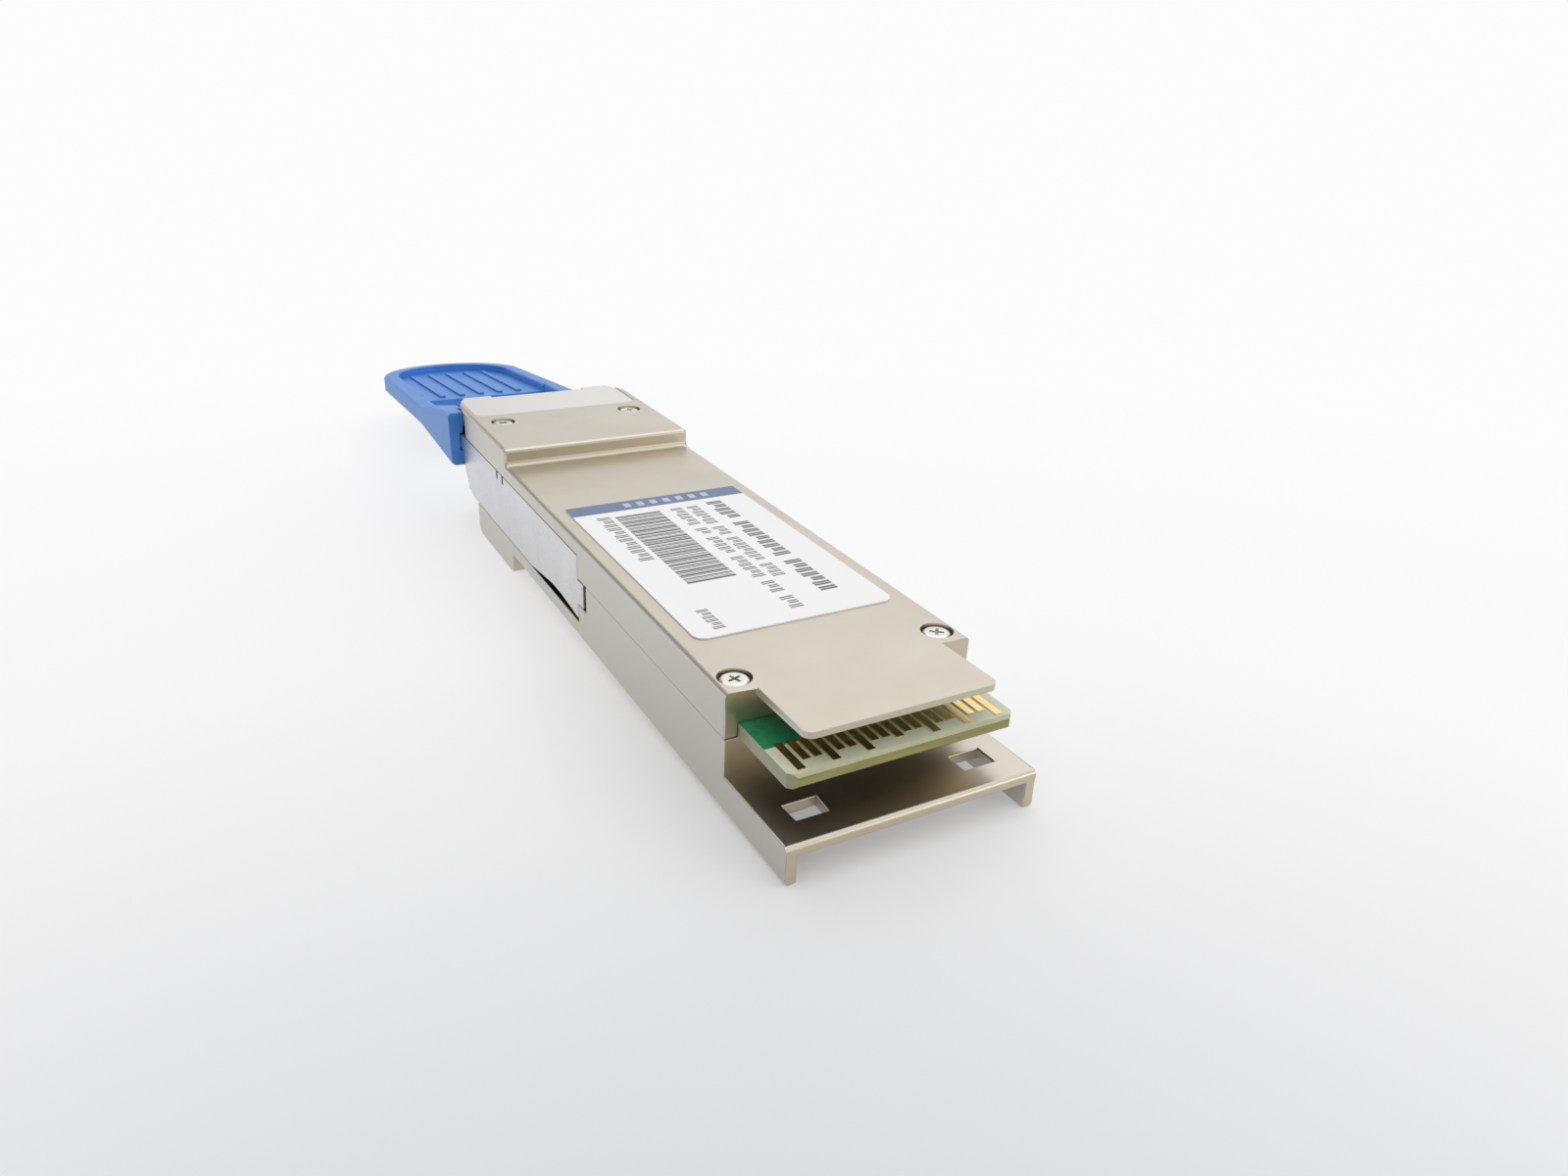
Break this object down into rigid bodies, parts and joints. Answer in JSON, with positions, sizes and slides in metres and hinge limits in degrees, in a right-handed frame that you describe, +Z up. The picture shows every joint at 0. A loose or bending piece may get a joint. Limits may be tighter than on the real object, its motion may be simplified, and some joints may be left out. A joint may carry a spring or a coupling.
{
  "type": "pluggable optical transceiver",
  "caption": "Metal transceiver module with a card edge at one end, fibre ports at the other, spring-loaded release arms along its sides and a blue pull tab to draw it out of its cage.",
  "frame": {"origin": "middle of the card-edge end of the body, on the body's bottom plane", "axes": "+X across the module, +Y from the card edge towards the pull tab, +Z up through the labelled cover"},
  "size_m": [0.0206, 0.1183, 0.0117],
  "materials": {
    "plated_casting": "nickel-plated zinc casting, satin with fine directional grain",
    "screw_steel": "plated steel, semi-bright",
    "board_laminate": "glass-epoxy laminate with solder mask",
    "contact_gold": "hard gold plating",
    "label_film": "printed polyester film, semi-matt",
    "arm_steel": "stainless sheet, fine satin",
    "spring_steel": "drawn stainless wire",
    "tab_polymer": "soft-touch moulded polymer, satin",
    "port_polymer": "moulded polymer, matt",
    "package_alloy": "gold-flashed sealed box",
    "barrel_steel": "turned stainless steel",
    "flex_film": "polyimide film",
    "thermal_rubber": "soft gap filler",
    "cradle_alloy": "machined",
    "chip_epoxy": "moulded epoxy",
    "inductor_ferrite": "pressed ferrite",
    "capacitor_ceramic": "ceramic with tinned ends"
  },
  "bodies": {
    "module": {"base_housing": "plated_casting", "top_cover": "plated_casting", "cover_screws": "screw_steel", "main_board": "board_laminate", "upper_contacts": "contact_gold", "lower_contacts": "contact_gold", "label": "label_film", "left_return_spring": "spring_steel", "right_return_spring": "spring_steel", "fibre_receptacle": "port_polymer", "transmitter_package": "package_alloy", "receiver_package": "package_alloy", "transmitter_barrel": "barrel_steel", "receiver_barrel": "barrel_steel", "transmitter_flex": "flex_film", "receiver_flex": "flex_film", "optics_thermal_pads": "thermal_rubber", "barrel_cradle": "cradle_alloy", "transmit_chip": "chip_epoxy", "receive_chip": "chip_epoxy", "controller_chip": "chip_epoxy", "chip_thermal_pad": "thermal_rubber", "power_inductors": "inductor_ferrite", "board_capacitors": "capacitor_ceramic"},
    "slider": {"pull_tab": "tab_polymer", "left_release_arm": "arm_steel", "right_release_arm": "arm_steel"}
  },
  "joints": [
    {"name": "release_slide", "type": "slide", "parent": "module", "child": "slider", "axis": [0, 1, 0], "range_m": [0, 0.0022], "stiffness_N_per_m": 1000, "springref_m": -0.001, "deforming": ["left_return_spring", "right_return_spring"]}
  ]
}
